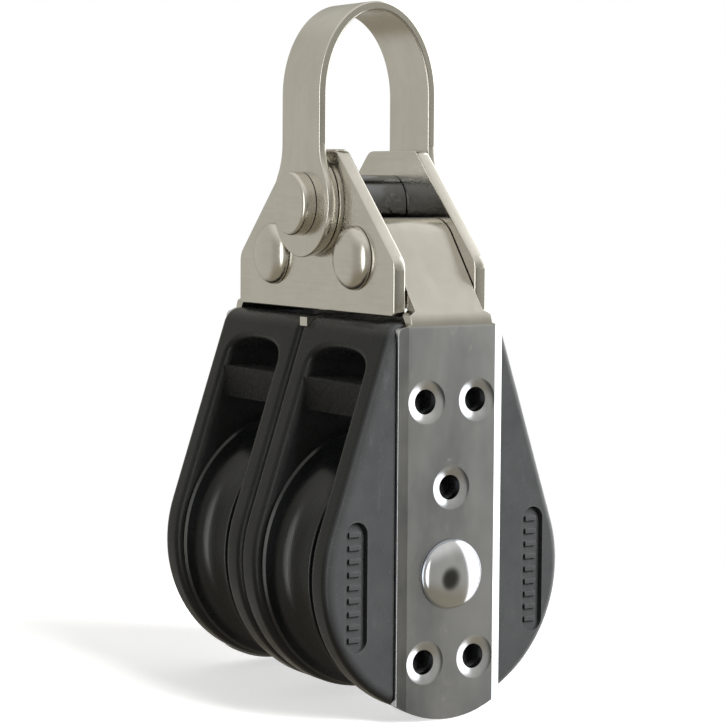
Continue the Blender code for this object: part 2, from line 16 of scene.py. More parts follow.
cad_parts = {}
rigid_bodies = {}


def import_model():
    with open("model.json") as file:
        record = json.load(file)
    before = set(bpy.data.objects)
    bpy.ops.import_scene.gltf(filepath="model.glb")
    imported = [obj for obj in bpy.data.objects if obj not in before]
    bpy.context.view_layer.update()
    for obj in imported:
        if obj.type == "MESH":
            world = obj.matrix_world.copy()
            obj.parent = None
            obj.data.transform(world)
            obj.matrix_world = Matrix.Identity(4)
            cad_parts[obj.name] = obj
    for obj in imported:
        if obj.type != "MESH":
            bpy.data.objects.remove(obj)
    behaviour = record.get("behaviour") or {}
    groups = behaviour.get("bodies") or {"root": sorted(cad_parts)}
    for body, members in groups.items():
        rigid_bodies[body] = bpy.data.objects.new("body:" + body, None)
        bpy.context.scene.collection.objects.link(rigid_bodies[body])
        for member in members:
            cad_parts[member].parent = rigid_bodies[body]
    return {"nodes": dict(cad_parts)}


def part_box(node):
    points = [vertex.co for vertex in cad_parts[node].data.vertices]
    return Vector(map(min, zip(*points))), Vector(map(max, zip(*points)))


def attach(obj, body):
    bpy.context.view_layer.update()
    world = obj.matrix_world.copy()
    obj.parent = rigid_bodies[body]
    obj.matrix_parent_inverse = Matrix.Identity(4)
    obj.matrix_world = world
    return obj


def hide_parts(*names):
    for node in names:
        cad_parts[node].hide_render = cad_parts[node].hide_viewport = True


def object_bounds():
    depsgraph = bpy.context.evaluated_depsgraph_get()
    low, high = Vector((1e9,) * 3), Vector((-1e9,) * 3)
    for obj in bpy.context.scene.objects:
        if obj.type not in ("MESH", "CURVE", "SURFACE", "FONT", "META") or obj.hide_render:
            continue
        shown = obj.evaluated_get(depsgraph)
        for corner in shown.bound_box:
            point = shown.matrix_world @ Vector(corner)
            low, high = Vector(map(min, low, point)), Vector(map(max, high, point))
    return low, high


for old in list(bpy.data.objects):
    bpy.data.objects.remove(old, do_unlink=True)
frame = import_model()
cad_low, cad_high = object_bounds()

MM = 0.001
AXLE_HEIGHT = sum(corner.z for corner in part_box("axle_pin")) / 2
SIDES = (("left", -1), ("right", 1))
ENDS = (("front", -1), ("rear", 1))
ROUND_STEPS = 96

# Cutters overshoot by CLEAR and leave GAP round what they seat. Points count as level within NEAR
# and are merged within WELD. Faces meet at an edge above SHARP and lie in one plane below FLAT
CLEAR = 5.0
GAP = 0.1
NEAR = 0.01
WELD = 0.002 * MM
SHARP = math.radians(38)
FLAT = math.radians(0.05)

# Shells
TOP_HALF_DEPTH = 10.4
TOP_CORNER = 3.1
TOP_CORNER_STEPS = 12
CHEEK_ARC_STEPS = 40
CHEEK_FILLET = 1.5
SEAM_FILLET = 1.3
BAY_HALF_WIDTH = 7.4
BAY_SPRING_Z = 28.9
BAY_TOP_Z = 31.8
BAY_FULLNESS = 2.4
BAY_ARCH_STEPS = 24
BAY_FILLET = 1.4
MOUTH_SKIN = 0.08
LEDGE_Z = 27.4
LEDGE_FILLET = 0.35
WEB_BOTTOM_Z = 22.6
WEB_HALF_DEPTH = 12.2
WEB_OVERLAP = 0.5
# Faces of the head web at least this deep inside the cheek, and within these margins of the web, get
# the darker nylon that paints their shade
WEB_SHADE_MIN_DEPTH = 0.5
WEB_SHADE_MARGIN_Y = 0.6
WEB_SHADE_MARGIN_Z = 0.2
RECESS_Y = 15.4
RECESS_Z = -0.8
RECESS_HALF_WIDTH = 1.8
RECESS_HALF_LENGTH = 9.3
RECESS_DEPTH = 0.8
RECESS_FILLET = 0.22
RIB_COUNT = 9
RIB_HALF_WIDTH = 1.0
RIB_HALF_HEIGHT = 0.38
RIB_DEPTH = 0.4
RIB_EDGE = 0.12
TAB_DEPTH = 1.4
TAB_SIDE_GAP = 0.3
TAB_TOP_GAP = 0.5
PLATE_NECK_HALF = 5.1
PLATE_NECK_DROP = 1.0

# Straps
STRAP_THICKNESS = 1.6
POCKET_DEPTH = 2.0
FOOT_CENTRE_Z = -4.6
FOOT_STEPS = 20
STRAP_SHOULDER_Z = 35.7
SHOULDER_CORNER = 1.0
SHOULDER_STEPS = 6
SHOULDER_RISE = 0.4
NECK_BASE_HALF = 7.0
NECK_TAPER_Z = 37.3
NECK_HALF_WIDTH = 5.85
NECK_Z = 37.95
BEND_Z = 36.4
BEND_RADIUS = 3.0
BEND_STEPS = 6
EYE_SWEEP_DEG = 285.0
EYE_STEPS = 60
HOLE_RADIUS = 1.8
SINK_RADIUS = 3.15
SINK_DEPTH = 0.45
SINK_STEPS = 6
SINK_CURVE = 1.3
HOLE_SIDES = 64
HOLE_ROW = 12.5
HOLE_PAIR_Y = 4.35
COIN_WIDTH = 1.5
COIN_DEPTH = 0.38
STRAP_EDGE = 0.25
CREASE = math.radians(9)

# Running gear
AXLE_RADIUS = 4.0
AXLE_BORE = 4.1
BUSH_BORE = 4.06
DOME_STEPS = 40
GROOVE_ROOT_RADIUS = 15.2
FLANGE_TIP = 0.7
FLANGE_ROUND = 0.35
FLANGE_STEPS = 4
RIM_STEP = 0.3
GROOVE_FULLNESS = 0.8
GROOVE_STEPS = 28
SHEAVE_HUB_RADIUS = 8.6
SHEAVE_HUB_SLOPE = 0.8
SHEAVE_WEB_RADIUS = 13.7
SHEAVE_FACE_RADIUS = 15.7
SHEAVE_WEB_HALF_WIDTH = 5.2
SHEAVE_BORE = 6.3
SHEAVE_SIDES = 144
RING_EDGE = 0.12
THRUST_EDGE = 0.08

# Head and bow
PLATE_KNEE_Z = 44.8
PLATE_TOP_HALF = 6.6
PLATE_KNEE_CORNER = 3.0
PLATE_TOP_CORNER = 2.2
PLATE_FOOT_CORNER = 0.8
PLATE_EDGE = 0.35
RIVET_RADIUS = 3.0
RIVET_SEAT = 8.2
PIN_RADIUS = 3.0
TUBE_BORE = 3.1
EAR_GAP = 0.06
EAR_RING_EDGE = 0.1
PIN_HEAD_EDGE = 0.7
PIN_EDGE_STEPS = 8
BOW_THICKNESS = 1.3
BOW_HALF_WIDTH = 5.4
BOW_ARCH_Z = 69.0
BOW_ARCH_STEPS = 48
BOW_EDGE = 0.28
EAR_FILLET = 9.0
EAR_FILLET_STEPS = 14
EAR_ARC_STEPS = 40

# Floor: the fade is given as distances from the middle in metres
FLOOR_RADIUS = 260.0
FLOOR_GAP = 0.2
FLOOR_FADE = (0.05, 0.13)
FLOOR_GLOW = 0.6
FLOOR_TONES = ((0.86, 0.86, 0.86), (0.90, 0.90, 0.90))

# Studio: light colours by direction, each spread from an inner to an outer half angle. Patches are
# (heading from +X, lift, inner and outer half angle, height against width, colour). Matte surfaces
# see DIFFUSE_SHARE of it
STUDIO_SIDE = (0.42, 0.405, 0.36)
STUDIO_TOP = (0.84, 0.82, 0.76)
STUDIO_TOP_SPREAD = (30, 75)
STUDIO_BELOW = (0.30, 0.265, 0.20)
STUDIO_BELOW_SPREAD = (45, 80)
STUDIO_PATCHES = (
    (18, -13, 10, 21, 1.0, (0.04, 0.038, 0.03)),
    (96, 6, 41, 49, 1.0, (2.5, 2.5, 2.45)),
    (213, 0, 26, 44, 1.0, (0.56, 0.545, 0.49)),
    (-62, 0, 5, 15, 3.0, (3.0, 3.0, 2.9)),
)
DIFFUSE_SHARE = 0.22

# Key light: angles as for the camera, distance and size in metres
KEY_AZIMUTH = 112
KEY_ELEVATION = 32
KEY_DISTANCE = 0.60
KEY_SIZE = (0.30, 0.40)
KEY_POWER = 11.5

# Camera: azimuth from -Y towards +X and angles in degrees, target and distance in millimetres
CAMERA_AZIMUTH = 56.93
CAMERA_ELEVATION = 3.94
CAMERA_ROLL = 0.41
CAMERA_TARGET = (6.04, 0, 32.80)
CAMERA_DISTANCE = 328.7
CAMERA_LENS = 108.5
CAMERA_SENSOR = 36
CAMERA_SHIFT = (-0.0222, -0.0342)

# Finishes, as linear colours
NYLON_TONES = ((0.030, 0.031, 0.032), (0.048, 0.049, 0.050))
# The head web's tones are far darker than the nylon's own: they paint the shade deep inside each bay
NYLON_WEB_SHADE_TONES = ((0.006, 0.006, 0.007), (0.014, 0.014, 0.015))
NYLON_SCUFF = (0.085, 0.086, 0.088)
NYLON_WORN = (0.070, 0.071, 0.073)
NYLON_SPECK = (0.16, 0.16, 0.16)
SHEAVE_TONES = ((0.010, 0.011, 0.012), (0.020, 0.021, 0.022))
SHEAVE_SCUFF = (0.06, 0.06, 0.062)
SHEAVE_WORN = (0.10, 0.10, 0.10)
POLISHED_TONES = ((0.56, 0.588, 0.640), (0.80, 0.822, 0.865), (0.65, 0.662, 0.69))
POLISHED_SPECK = (0.92, 0.92, 0.92)
SATIN_TONES = ((0.60, 0.582, 0.535), (0.76, 0.742, 0.69), (0.56, 0.545, 0.505))
SATIN_WORN = (0.88, 0.86, 0.81)
BRONZE_TONES = ((0.34, 0.21, 0.085), (0.50, 0.34, 0.15))
BRONZE_PORE = (0.12, 0.075, 0.035)


def extent(node):
    """Low and high corner of a CAD node in millimetres, with heights above the axle."""
    low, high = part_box(node)
    shift = Vector((0, 0, AXLE_HEIGHT))
    return (low - shift) / MM, (high - shift) / MM


def to_frame(point):
    x, y, z = point
    return Vector((x * MM, y * MM, z * MM + AXLE_HEIGHT))


def from_frame(point):
    return Vector((point[0], point[1], point[2] - AXLE_HEIGHT)) / MM


# ---------------------------------------------------------------- outlines


def arc(centre, radius, start_deg, end_deg, steps):
    points = []
    for i in range(steps + 1):
        angle = math.radians(start_deg + (end_deg - start_deg) * i / steps)
        points.append((centre[0] + radius * math.cos(angle), centre[1] + radius * math.sin(angle)))
    return points


def circle(centre, radius, sides=ROUND_STEPS):
    return arc(centre, radius, 0, 360 - 360 / sides, sides - 1)


def mirrored(right_half):
    return right_half + [(-x, y) for x, y in reversed(right_half) if abs(x) > 1e-6]


def rounded(corners, steps=10):
    """A closed outline from (x, y, corner radius) corners, given anticlockwise."""
    points = []
    for i, (x, y, radius) in enumerate(corners):
        ends = []
        for other in (corners[i - 1], corners[(i + 1) % len(corners)]):
            ends.append(Vector((other[0] - x, other[1] - y)).normalized())
        half = ends[0].angle(ends[1]) / 2
        centre = Vector((x, y)) + (ends[0] + ends[1]).normalized() * (radius / math.sin(half))
        touches = [Vector((x, y)) + end * (radius / math.tan(half)) - centre for end in ends]
        start, end = (math.degrees(math.atan2(touch.y, touch.x)) for touch in touches)
        turn = (end - start + 180) % 360 - 180
        points += arc(centre, radius, start, start + turn, steps)
    return points


def teardrop(radius, top):
    """Cheek in (y, z): a round bottom whose sides run straight in to a rounded flat top."""
    corner = (TOP_HALF_DEPTH - TOP_CORNER, top - TOP_CORNER)
    away = math.hypot(*corner)
    tilt = math.acos((radius - TOP_CORNER) / away)
    lean = math.degrees(math.atan2(corner[1], corner[0]) - tilt)
    half = arc((0, 0), radius, -90, lean, CHEEK_ARC_STEPS)
    return mirrored(half + arc(corner, TOP_CORNER, lean, 90, TOP_CORNER_STEPS))


def depth_under(y, z, radius, top):
    """How far (y, z) lies inside the teardrop, which is the hull of three circles."""
    discs = [(0, 0, radius)]
    discs += [(way * (TOP_HALF_DEPTH - TOP_CORNER), top - TOP_CORNER, TOP_CORNER) for _, way in ENDS]
    depths = []
    for degree in range(360):
        across, up = math.cos(math.radians(degree)), math.sin(math.radians(degree))
        reach = max(cy * across + cz * up + r for cy, cz, r in discs)
        depths.append(reach - y * across - z * up)
    return min(depths)


def stadium(half_width, half_length, steps=16):
    straight = half_length - half_width
    half = arc((0, -straight), half_width, -90, 0, steps)
    return mirrored(half + arc((0, straight), half_width, 0, 90, steps))


def bay_mouth(bottom):
    """Mouth of a rope bay in (x, z): straight sides under a flattened round arch."""
    half = [(BAY_HALF_WIDTH, bottom)]
    for i in range(BAY_ARCH_STEPS + 1):
        angle = math.pi / 2 * i / BAY_ARCH_STEPS
        across = BAY_HALF_WIDTH * math.cos(angle) ** (2 / BAY_FULLNESS)
        rise = (BAY_TOP_Z - BAY_SPRING_Z) * math.sin(angle) ** (2 / BAY_FULLNESS)
        half.append((across, BAY_SPRING_Z + rise))
    return mirrored(half)


# ---------------------------------------------------------------- solids


def new_object(name, mesh):
    obj = bpy.data.objects.new(name, mesh)
    bpy.context.scene.collection.objects.link(obj)
    return obj


def from_bmesh(name, solid):
    bmesh.ops.recalc_face_normals(solid, faces=solid.faces)
    mesh = bpy.data.meshes.new(name)
    solid.to_mesh(mesh)
    solid.free()
    return new_object(name, mesh)


def prism(name, outline, axis, low, high, centre=(0, 0, 0)):
    """A flat outline made solid along an axis, from low to high."""
    solid = bmesh.new()
    rings = []
    for depth in (low, high):
        ring = []
        for x, y in outline:
            offset = Vector({"X": (depth, x, y), "Y": (x, depth, y), "Z": (x, y, depth)}[axis])
            ring.append(solid.verts.new(to_frame(offset + Vector(centre))))
        rings.append(ring)
        solid.faces.new(ring)
    for i in range(len(outline)):
        solid.faces.new((rings[0][i - 1], rings[0][i], rings[1][i], rings[1][i - 1]))
    return from_bmesh(name, solid)


def turned(name, profile, axis, centre, steps=ROUND_STEPS, closed=False):
    """A profile of (radius, height along the axis) points turned about X or Y through centre."""
    along = Vector((1, 0, 0)) if axis == "X" else Vector((0, 1, 0))
    out = Vector((0, 0, 1))
    solid = bmesh.new()
    middle = Vector(centre)
    verts = []
    for radius, height in profile:
        verts.append(solid.verts.new(to_frame(middle + out * radius + along * height)))
    edges = [solid.edges.new(pair) for pair in zip(verts, verts[1:])]
    if closed:
        edges.append(solid.edges.new((verts[-1], verts[0])))
    bmesh.ops.spin(
        solid,
        geom=verts + edges,
        cent=to_frame(middle),
        axis=along,
        angle=2 * math.pi,
        steps=steps,
        use_merge=True,
    )
    bmesh.ops.remove_doubles(solid, verts=solid.verts, dist=1e-7)
    return from_bmesh(name, solid)


def block(name, low, high):
    outline = [(low[1], low[2]), (high[1], low[2]), (high[1], high[2]), (low[1], high[2])]
    return prism(name, outline, "X", low[0], high[0])


def bake(obj):
    """Applies the object's modifiers to its mesh."""
    bpy.context.view_layer.update()
    graph = bpy.context.evaluated_depsgraph_get()
    mesh = bpy.data.meshes.new_from_object(obj.evaluated_get(graph))
    obj.modifiers.clear()
    obj.data = mesh


def carve(obj, cutter, operation="DIFFERENCE"):
    boolean = obj.modifiers.new("Carve", "BOOLEAN")
    boolean.object = cutter
    boolean.operation = operation
    boolean.solver = "EXACT"
    bake(obj)
    bpy.data.objects.remove(cutter, do_unlink=True)


def round_edges(obj, chosen, width, segments=3, clamp=True):
    """Merges faces that lie in one plane, then bevels the sharp edges that chosen() picks.

    chosen() is given an edge's ends and its faces' (middle, normal), in millimetres about the axle.
    clamp narrows the whole bevel where it would run into itself.
    """
    solid = bmesh.new()
    solid.from_mesh(obj.data)
    bmesh.ops.remove_doubles(solid, verts=solid.verts, dist=WELD)
    bmesh.ops.dissolve_degenerate(solid, edges=solid.edges, dist=WELD)
    bmesh.ops.dissolve_limit(solid, angle_limit=FLAT, verts=solid.verts[:], edges=solid.edges[:])
    picked = []
    for edge in solid.edges:
        if len(edge.link_faces) == 2 and edge.calc_face_angle(0) > SHARP:
            ends = [from_frame(vert.co) for vert in edge.verts]
            faces = [(from_frame(face.calc_center_median()), face.normal) for face in edge.link_faces]
            if chosen(ends, faces):
                picked.append(edge)
    bmesh.ops.bevel(
        solid,
        geom=picked,
        offset=width * MM,
        offset_type="OFFSET",
        segments=segments,
        profile=0.5,
        affect="EDGES",
        clamp_overlap=clamp,
        loop_slide=True,
    )
    solid.to_mesh(obj.data)
    solid.free()


def finish_piece(obj, body, node, material, sharp=SHARP):
    """Shades a piece, sets it on its body and has it stand in for its CAD node."""
    obj.data.shade_smooth()
    obj.data.set_sharp_from_angle(angle=sharp)
    weighted = obj.modifiers.new("Weighted normals", "WEIGHTED_NORMAL")
    weighted.keep_sharp = True
    if material is not None:
        obj.data.materials.clear()
        obj.data.materials.append(material)
    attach(obj, body)
    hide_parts(node)


def span(sign, near, far):
    """Low and high X of a stretch between two distances from the middle, on one side of it."""
    return (near, far) if sign > 0 else (-far, -near)


# ---------------------------------------------------------------- materials


def add(tree, kind, settings=None, **inputs):
    """A new shader node. Inputs are named as in Blender, with _ for a space, and may be sockets."""
    node = tree.nodes.new(kind)
    for key, value in (settings or {}).items():
        setattr(node, key, value)
    for key, value in inputs.items():
        socket = node.inputs[key.replace("_", " ")]
        if isinstance(value, bpy.types.NodeSocket):
            tree.links.new(value, socket)
        else:
            socket.default_value = value
    return node


def noise(tree, scale, detail=4.0, rough=0.6, stretch=(1, 1, 1)):
    """Noise with features about 1000 / scale millimetres across, finer along stretched axes."""
    place = add(tree, "ShaderNodeTexCoord").outputs["Object"]
    mapped = add(tree, "ShaderNodeMapping", Vector=place, Scale=stretch).outputs["Vector"]
    found = add(tree, "ShaderNodeTexNoise", Vector=mapped, Scale=scale, Detail=detail, Roughness=rough)
    return found.outputs["Fac"]


def spread(tree, value, low, high, to_low=0.0, to_high=1.0):
    """A smooth step from to_low, where value is at low, to to_high, where it is at high."""
    settings = {"interpolation_type": "SMOOTHSTEP"}
    node = add(tree, "ShaderNodeMapRange", settings, Value=value, To_Min=to_low, To_Max=to_high)
    node.inputs["From Min"].default_value = low
    node.inputs["From Max"].default_value = high
    return node.outputs["Result"]


def calc(tree, operation, a, b):
    node = tree.nodes.new("ShaderNodeMath")
    node.operation = operation
    for socket, value in zip(node.inputs, (a, b)):
        if isinstance(value, bpy.types.NodeSocket):
            tree.links.new(value, socket)
        else:
            socket.default_value = value
    return node.outputs[0]


def blend_colour(tree, share, first, second):
    node = tree.nodes.new("ShaderNodeMix")
    node.data_type = "RGBA"
    colours = [socket for socket in node.inputs if socket.type == "RGBA"]
    tree.links.new(share, node.inputs[0])
    for socket, value in zip(colours, (first, second)):
        if isinstance(value, bpy.types.NodeSocket):
            tree.links.new(value, socket)
        else:
            socket.default_value = (*value, 1.0)
    return [socket for socket in node.outputs if socket.type == "RGBA"][0]


def edge_wear(tree, radius):
    """1 on rounded and sharp edges, 0 on open faces."""
    soft = add(tree, "ShaderNodeBevel", {"samples": 4}, Radius=radius).outputs["Normal"]
    hard = add(tree, "ShaderNodeNewGeometry").outputs["Normal"]
    dot = tree.nodes.new("ShaderNodeVectorMath")
    dot.operation = "DOT_PRODUCT"
    tree.links.new(soft, dot.inputs[0])
    tree.links.new(hard, dot.inputs[1])
    return spread(tree, dot.outputs["Value"], 0.80, 0.995, 1.0, 0.0)


def bump(tree, height, distance, strength, normal=None):
    node = add(tree, "ShaderNodeBump", Height=height, Distance=distance, Strength=strength)
    if normal is not None:
        tree.links.new(normal, node.inputs["Normal"])
    return node.outputs["Normal"]


def new_material(name):
    material = bpy.data.materials.new(name)
    material.use_nodes = True
    tree = material.node_tree
    return material, tree, tree.nodes["Principled BSDF"]


def moulded_nylon(name, rough_with_painted_shade=False):
    """Black moulded nylon: fine grain, faint scuffs and greyer edges.

    The rough kind, for the head web, adds a coarse grain and far darker tones, which paint the web's
    shade.
    """
    material, tree, shader = new_material(name)
    mottle = noise(tree, 220, 5, 0.6)
    scuffs = spread(tree, noise(tree, 260, 8, 0.75, (1, 2.4, 0.5)), 0.56, 0.74)
    specks = spread(tree, noise(tree, 2600, 3, 0.5), 0.62, 0.78)
    # The rough kind's far darker tones are painted shade
    tones = NYLON_WEB_SHADE_TONES if rough_with_painted_shade else NYLON_TONES
    colour = blend_colour(tree, mottle, *tones)
    colour = blend_colour(tree, calc(tree, "MULTIPLY", scuffs, 0.30), colour, NYLON_SCUFF)
    wear = calc(tree, "MULTIPLY", edge_wear(tree, 0.0005), spread(tree, mottle, 0.35, 0.65, 0.15, 0.55))
    colour = blend_colour(tree, wear, colour, NYLON_WORN)
    colour = blend_colour(tree, calc(tree, "MULTIPLY", specks, 0.15), colour, NYLON_SPECK)
    tree.links.new(colour, shader.inputs["Base Color"])
    rough = spread(tree, noise(tree, 420, 5, 0.7), 0.3, 0.7, 0.22, 0.36)
    rough = calc(tree, "ADD", rough, calc(tree, "MULTIPLY", scuffs, 0.10))
    rough = calc(tree, "SUBTRACT", rough, calc(tree, "MULTIPLY", wear, 0.22))
    tree.links.new(rough, shader.inputs["Roughness"])
    shader.inputs["Specular IOR Level"].default_value = 0.18
    normal = bump(tree, noise(tree, 3800, 2, 0.5), 0.00001, 0.5)
    normal = bump(tree, noise(tree, 160, 3, 0.5), 0.00015, 0.35, normal)
    if rough_with_painted_shade:
        normal = bump(tree, noise(tree, 900, 6, 0.75), 0.0005, 0.9, normal)
    tree.links.new(normal, shader.inputs["Normal"])
    return material


def turned_nylon():
    """Black sheave nylon, smooth in the groove with faint rings from turning."""
    material, tree, shader = new_material("sheave_nylon")
    mottle = noise(tree, 150, 4, 0.6)
    rings = noise(tree, 300, 4, 0.6, (9, 0.6, 0.6))
    scuffs = spread(tree, noise(tree, 500, 6, 0.7, (3.0, 0.5, 0.5)), 0.58, 0.75)
    colour = blend_colour(tree, mottle, *SHEAVE_TONES)
    colour = blend_colour(tree, calc(tree, "MULTIPLY", scuffs, 0.25), colour, SHEAVE_SCUFF)
    wear = calc(tree, "MULTIPLY", edge_wear(tree, 0.0004), 0.35)
    colour = blend_colour(tree, wear, colour, SHEAVE_WORN)
    tree.links.new(colour, shader.inputs["Base Color"])
    tree.links.new(spread(tree, rings, 0.3, 0.7, 0.20, 0.32), shader.inputs["Roughness"])
    normal = bump(tree, rings, 0.00003, 0.5)
    normal = bump(tree, noise(tree, 2500, 2, 0.5), 0.00001, 0.4, normal)
    tree.links.new(normal, shader.inputs["Normal"])
    return material


def polished_steel(name, shade, rough_low, rough_high):
    """Polished stainless with finger smudges, pale scuffs, hairline scratches and a slight ripple."""
    material, tree, shader = new_material(name)
    smudge = noise(tree, 140, 3, 0.5)
    cloud = noise(tree, 75, 4, 0.6, (1, 1, 0.55))
    hair = noise(tree, 900, 2, 0.5, (1, 2.5, 0.15))
    tones = [[shade * part for part in tone] for tone in POLISHED_TONES]
    colour = blend_colour(tree, spread(tree, cloud, 0.32, 0.68), tones[0], tones[1])
    colour = blend_colour(tree, spread(tree, smudge, 0.40, 0.75, 0.0, 0.35), colour, tones[2])
    specks = spread(tree, noise(tree, 330, 6, 0.7), 0.60, 0.76)
    colour = blend_colour(tree, calc(tree, "MULTIPLY", specks, 0.55), colour, POLISHED_SPECK)
    tree.links.new(colour, shader.inputs["Base Color"])
    shader.inputs["Metallic"].default_value = 1.0
    rough = spread(tree, smudge, 0.25, 0.75, rough_low, rough_high)
    rough = calc(tree, "ADD", rough, calc(tree, "MULTIPLY", hair, 0.04))
    tree.links.new(rough, shader.inputs["Roughness"])
    normal = bump(tree, noise(tree, 60, 2, 0.4), 0.0006, 0.25)
    tree.links.new(normal, shader.inputs["Normal"])
    return material


def satin_steel(name, grain, shade=1.0):
    """Satin stainless: warm grey, brushed along one axis by the grain's stretch."""
    material, tree, shader = new_material(name)
    brushed = noise(tree, 700, 3, 0.6, grain)
    cloud = noise(tree, 120, 4, 0.6)
    tones = [[shade * part for part in tone] for tone in SATIN_TONES]
    colour = blend_colour(tree, cloud, tones[0], tones[1])
    colour = blend_colour(tree, spread(tree, brushed, 0.35, 0.75, 0.0, 0.22), colour, tones[2])
    wear = calc(tree, "MULTIPLY", edge_wear(tree, 0.0003), 0.5)
    colour = blend_colour(tree, wear, colour, SATIN_WORN)
    tree.links.new(colour, shader.inputs["Base Color"])
    shader.inputs["Metallic"].default_value = 1.0
    rough = spread(tree, brushed, 0.25, 0.75, 0.15, 0.235)
    rough = calc(tree, "ADD", rough, calc(tree, "MULTIPLY", cloud, 0.03))
    tree.links.new(rough, shader.inputs["Roughness"])
    normal = bump(tree, brushed, 0.000004, 0.12)
    normal = bump(tree, noise(tree, 90, 2, 0.5), 0.0003, 0.10, normal)
    tree.links.new(normal, shader.inputs["Normal"])
    return material


def sintered_bronze():
    """Bush bronze with darker pores."""
    material, tree, shader = new_material("bush_bronze")
    pores = noise(tree, 3200, 3, 0.6)
    colour = blend_colour(tree, noise(tree, 300, 4, 0.6), *BRONZE_TONES)
    colour = blend_colour(tree, spread(tree, pores, 0.55, 0.7, 0.0, 0.6), colour, BRONZE_PORE)
    tree.links.new(colour, shader.inputs["Base Color"])
    shader.inputs["Metallic"].default_value = 0.9
    tree.links.new(spread(tree, pores, 0.3, 0.7, 0.32, 0.55), shader.inputs["Roughness"])
    tree.links.new(bump(tree, pores, 0.00003, 0.6), shader.inputs["Normal"])
    return material


NYLON = moulded_nylon("black_nylon")
# The head web's nylon is rough, and darkened to paint the shade deep inside the bays
NYLON_WEB_PAINTED_SHADE = moulded_nylon("black_nylon_web_painted_shade", rough_with_painted_shade=True)
NYLON_SHEAVE = turned_nylon()
BRONZE = sintered_bronze()
# The denoiser draws contour lines where steel's roughness crosses about 0.274, so it all stays below
POLISHED = polished_steel("polished_steel", shade=0.90, rough_low=0.15, rough_high=0.23)
MIRROR = polished_steel("mirror_steel", shade=0.95, rough_low=0.06, rough_high=0.14)
# The pivot spacer's copy of the polished steel is far darker, a painted shade for its place between the
# head plates
SHADED = polished_steel("shaded_steel", shade=0.30, rough_low=0.08, rough_high=0.16)
SATIN = satin_steel("satin_steel", grain=(0.25, 3.0, 3.0))
SATIN_BOW = satin_steel("satin_steel_bow", grain=(0.8, 0.8, 0.2))
# Beige satin copy for the strap's neck, a painted reflection of the warm light over its bent-back face
NECK_PAINTED_REFLECTION = satin_steel("steel_neck_painted_reflection", grain=(0.8, 0.8, 0.2), shade=0.85)


# ---------------------------------------------------------------- shells


def recess_ribs(side, end, sign, way, face):
    """A row of small raised bars on the floor of a recess."""
    floor = face - RECESS_DEPTH
    pitch = 2 * (RECESS_HALF_LENGTH - RECESS_HALF_WIDTH) / (RIB_COUNT - 1)
    solid = bmesh.new()
    for i in range(RIB_COUNT):
        middle = Vector((sign * floor, way * RECESS_Y, RECESS_Z + (i - (RIB_COUNT - 1) / 2) * pitch))
        made = bmesh.ops.create_cube(solid, size=2.0)["verts"]
        for vert in made:
            half = (RIB_DEPTH, RIB_HALF_WIDTH, RIB_HALF_HEIGHT)
            vert.co = to_frame(middle + Vector([a * b for a, b in zip(half, vert.co)]))
    bmesh.ops.bevel(
        solid, geom=solid.edges[:], offset=RIB_EDGE * MM, segments=2, affect="EDGES", profile=0.5
    )
    return from_bmesh(f"ribs_{side}_{end}", solid)


def strap_holes():
    """Centres of a strap's five holes in (y, z): a pair above, a pair below and one between."""
    pairs = [(way * HOLE_PAIR_Y, row * HOLE_ROW) for row in (2, -1) for _, way in ENDS]
    return pairs + [(0, HOLE_ROW)]


def all_at(ends, axis, distance):
    """Whether every point is this far from the middle plane across an axis, 0 for X or 1 for Y."""
    return all(abs(abs(end[axis]) - distance) < NEAR for end in ends)


def cut_bay(shell, middle, in_bay, depth, reach):
    """Cuts the rope bay right through, rounds its mouths and puts the head web back across it."""
    carve(shell, prism("bay", bay_mouth(-reach), "Y", -reach, reach, (middle, 0, 0)))

    def at_mouth(ends, faces):
        return all(in_bay(end) and depth(end) < MOUTH_SKIN for end in ends)

    round_edges(shell, at_mouth, BAY_FILLET, segments=5, clamp=False)
    half_width = BAY_HALF_WIDTH + WEB_OVERLAP
    web_low = (middle - half_width, -WEB_HALF_DEPTH, WEB_BOTTOM_Z)
    web_high = (middle + half_width, WEB_HALF_DEPTH, LEDGE_Z)
    carve(shell, block("web", web_low, web_high), "UNION")

    def on_ledge(ends, faces):
        inside = all(in_bay(end) and depth(end) > 1.0 for end in ends)
        return inside and all_at(ends, 1, WEB_HALF_DEPTH)

    round_edges(shell, on_ledge, LEDGE_FILLET)


def cut_for_strap(shell, sign, strap_outer, channel_half, reach, top):
    """Cuts the channel that the strap lies in and a blind pocket behind each of its holes."""
    floor = strap_outer - STRAP_THICKNESS
    near, far = span(sign, floor - GAP, strap_outer + CLEAR)
    carve(shell, block("channel", (near, -channel_half, -reach), (far, channel_half, top + CLEAR)))
    near, far = span(sign, floor - POCKET_DEPTH, floor + CLEAR)
    for y, z in strap_holes():
        carve(shell, prism("pocket", circle((0, 0), HOLE_RADIUS + GAP), "X", near, far, (0, y, z)))


def cut_recesses(shell, side, sign, outer, channel_half):
    """Cuts the long recess at each end of a cheek and stands its row of bars in it."""
    near, far = span(sign, outer - RECESS_DEPTH, outer + CLEAR)
    outline = stadium(RECESS_HALF_WIDTH, RECESS_HALF_LENGTH)
    for end, way in ENDS:
        carve(shell, prism("recess", outline, "X", near, far, (0, way * RECESS_Y, RECESS_Z)))

    def on_recess(ends, faces):
        return all_at(ends, 0, outer) and all(abs(end.y) > channel_half + 0.5 for end in ends)

    round_edges(shell, on_recess, RECESS_FILLET, segments=2)
    for end, way in ENDS:
        carve(shell, recess_ribs(side, end, sign, way, outer), "UNION")


